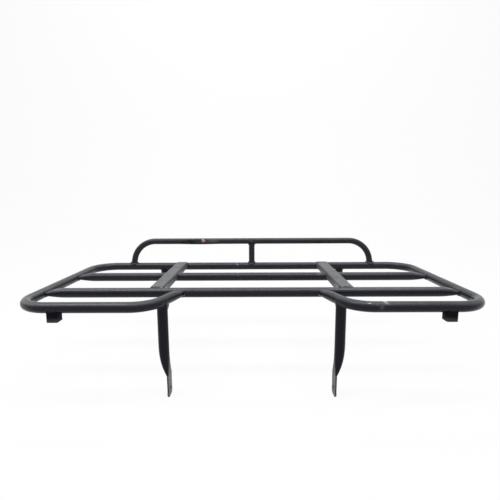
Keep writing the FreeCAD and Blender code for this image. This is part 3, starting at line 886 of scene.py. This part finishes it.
class RACK_OT_stage(bpy.types.Operator):
    """Builds the white paper sweep, the soft lights and the camera"""
    bl_idname = "rack.stage"
    bl_label = "Stage"

    def execute(self, context):
        scene = context.scene
        scene.view_settings.view_transform = "Standard"
        self.paper(scene)
        self.lights(scene)
        self.camera(scene)
        return {"FINISHED"}

    def paper(self, scene):
        """A floor that turns up into a wall through a quarter circle, wide enough to fill the view."""
        reach, wall, radius, half_width = 2.6, 3.2, 1.0, 3.6
        floor_steps, bend_steps, wall_steps, columns = 30, 24, 8, 25
        bend = np.linspace(0.0, np.pi / 2, bend_steps)
        y = np.concatenate([np.linspace(-reach, reach - radius, floor_steps),
                            reach - radius + radius * np.sin(bend), np.full(wall_steps, reach)])
        z = np.concatenate([np.zeros(floor_steps), radius - radius * np.cos(bend),
                            np.linspace(radius, wall, wall_steps + 1)[1:]])
        x = np.linspace(-half_width, half_width, columns)
        points = points_from(x, y[:, None], z[:, None]).reshape(-1, 3)
        corner = np.arange(len(y) - 1)[:, None] * columns + np.arange(columns - 1)[None]
        quads = np.stack([corner, corner + 1, corner + columns + 1, corner + columns], -1).reshape(-1, 4)
        floor = mesh_object("paper_sweep", points, quads.tolist(), self.paper_finish(scene))

    def paper_finish(self, scene):
        """White seamless paper: a matt sheet with faint fibres, which looks nearly white to the camera."""
        material = bpy.data.materials.new("white seamless paper")
        add = emptied(material)
        fibre = add("ShaderNodeTexNoise", {"Vector": add("ShaderNodeTexCoord", output="Object"),
                                           "Scale": 1.0 / (4.0 * MM), "Detail": 3.0}, output="Fac")
        bump = add("ShaderNodeBump", {"Strength": 0.05, "Distance": 0.2 * MM, "Height": fibre})
        shader = add("ShaderNodeBsdfPrincipled", {
            "Base Color": (*scene.rack_finish.paper, 1.0), "Roughness": 0.9, "Normal": bump})
        glow = add("ShaderNodeEmission", {"Color": (1.0, 1.0, 1.0, 1.0), "Strength": 1.0})
        glow_share = 0.93
        share = add("ShaderNodeMath", {0: self.seen(add), 1: glow_share}, operation="MULTIPLY")
        mix = add("ShaderNodeMixShader", {0: share, 1: shader, 2: glow})
        add("ShaderNodeOutputMaterial", {"Surface": mix})
        return material

    def seen(self, add):
        """1 for what the camera sees straight, in gloss or through glass, and 0 for light that bounces."""
        share = 0.0
        for kind in ("Is Camera Ray", "Is Glossy Ray", "Is Transmission Ray"):
            ray = add("ShaderNodeLightPath", output=kind)
            share = add("ShaderNodeMath", {0: share, 1: ray}, operation="MAXIMUM")
        return share

    def lights(self, scene):
        """A soft box overhead, weak ones in front and at the sides, one for the wall, and a surround.

        The surround looks white, and its light on the rack is dim.
        """
        world = bpy.data.worlds.new("white surround")
        add = emptied(world)
        dim = 0.1
        strength = add("ShaderNodeMath", {0: self.seen(add), 1: 1.0 - dim, 2: dim}, operation="MULTIPLY_ADD")
        white = add("ShaderNodeBackground", {"Color": (1.0, 1.0, 1.0, 1.0), "Strength": strength})
        add("ShaderNodeOutputWorld", {"Surface": white})
        scene.world = world
        for name, place, aim, size, power in (
                ("overhead_soft_box", (-0.2, -0.48, 2.0), (-0.1, -0.1, 0.1), (2.6, 0.45), 37.0),
                ("front_soft_box", (0.0, -1.7, 1.5), (0.0, 0.0, 0.15), (2.2, 0.9), 3.0),
                ("backdrop_soft_box", (0.0, 1.3, 2.7), (0.0, 2.6, 1.0), (3.0, 0.6), 40.0),
                ("left_soft_box", (-2.0, -0.6, 1.2), (0.0, 0.0, 0.15), (0.9, 1.2), 2.0),
                ("right_soft_box", (2.0, -0.6, 1.2), (0.0, 0.0, 0.15), (0.9, 1.2), 2.0)):
            light = bpy.data.lights.new(name, "AREA")
            light.shape = "RECTANGLE"
            light.size, light.size_y = size
            light.energy = power
            lamp = bpy.data.objects.new(name, light)
            back = unit(np.subtract(place, aim))
            right = unit(np.cross(Y_AXIS, back))
            lamp.matrix_world = placed(right, np.cross(back, right), back, place)
            scene.collection.objects.link(lamp)

    def camera(self, scene):
        """A camera a little above the deck, looking forward and slightly down."""
        pitch, yaw, roll = math.radians(8.55), math.radians(-0.412), math.radians(-0.283)
        place = (2.6 * MM, REAR_Y - 646.5 * MM, DECK_Z + 200.0 * MM)
        ahead = math.cos(pitch)
        forward = np.array((math.sin(yaw) * ahead, math.cos(yaw) * ahead, -math.sin(pitch)))
        level = np.array((math.cos(yaw), -math.sin(yaw), 0.0))
        upright = np.cross(level, forward)
        data = bpy.data.cameras.new("rear_camera")
        data.sensor_fit = "HORIZONTAL"
        data.sensor_width = 36.0
        data.lens = 27.07
        data.clip_start = 0.05
        camera = bpy.data.objects.new("rear_camera", data)
        camera.matrix_world = placed(math.cos(roll) * level + math.sin(roll) * upright,
                                     -math.sin(roll) * level + math.cos(roll) * upright, -forward, place)
        scene.collection.objects.link(camera)
        scene.camera = camera


def placed(right, upright, back, place):
    """A placing whose X, Y and Z axes are the three directions, at a place."""
    turned = np.eye(4)
    turned[:3] = np.column_stack([right, upright, back, place])
    return Matrix(turned.tolist())


class RACK_PT_sidebar(bpy.types.Panel):
    """Lists the rack's sizes, finishes and pieces in the sidebar"""
    bl_label = "Front Rack"
    bl_idname = "RACK_PT_sidebar"
    bl_space_type = "VIEW_3D"
    bl_region_type = "UI"
    bl_category = "Rack"

    def draw(self, context):
        for group in (context.scene.rack_sizes, context.scene.rack_finish):
            column = self.layout.column()
            for name in group.__annotations__:
                column.prop(group, name)
        for piece in PIECES:
            self.layout.operator(piece.bl_idname)


PIECES = (RACK_OT_perimeter_tube, RACK_OT_cross_tubes, RACK_OT_fence, RACK_OT_deck_channels,
          RACK_OT_legs, RACK_OT_corner_feet, RACK_OT_weld_beads, RACK_OT_stage)
CLASSES = (RackSizes, RackFinish, *PIECES, RACK_PT_sidebar)


def register():
    for item in CLASSES:
        bpy.utils.register_class(item)
    bpy.types.Scene.rack_sizes = PointerProperty(type=RackSizes)
    bpy.types.Scene.rack_finish = PointerProperty(type=RackFinish)


def unregister():
    del bpy.types.Scene.rack_finish
    del bpy.types.Scene.rack_sizes
    for item in reversed(CLASSES):
        bpy.utils.unregister_class(item)


def main():
    register()
    for piece in PIECES:
        getattr(bpy.ops.rack, piece.bl_idname.split(".")[1])()


if __name__ == "__main__":
    main()
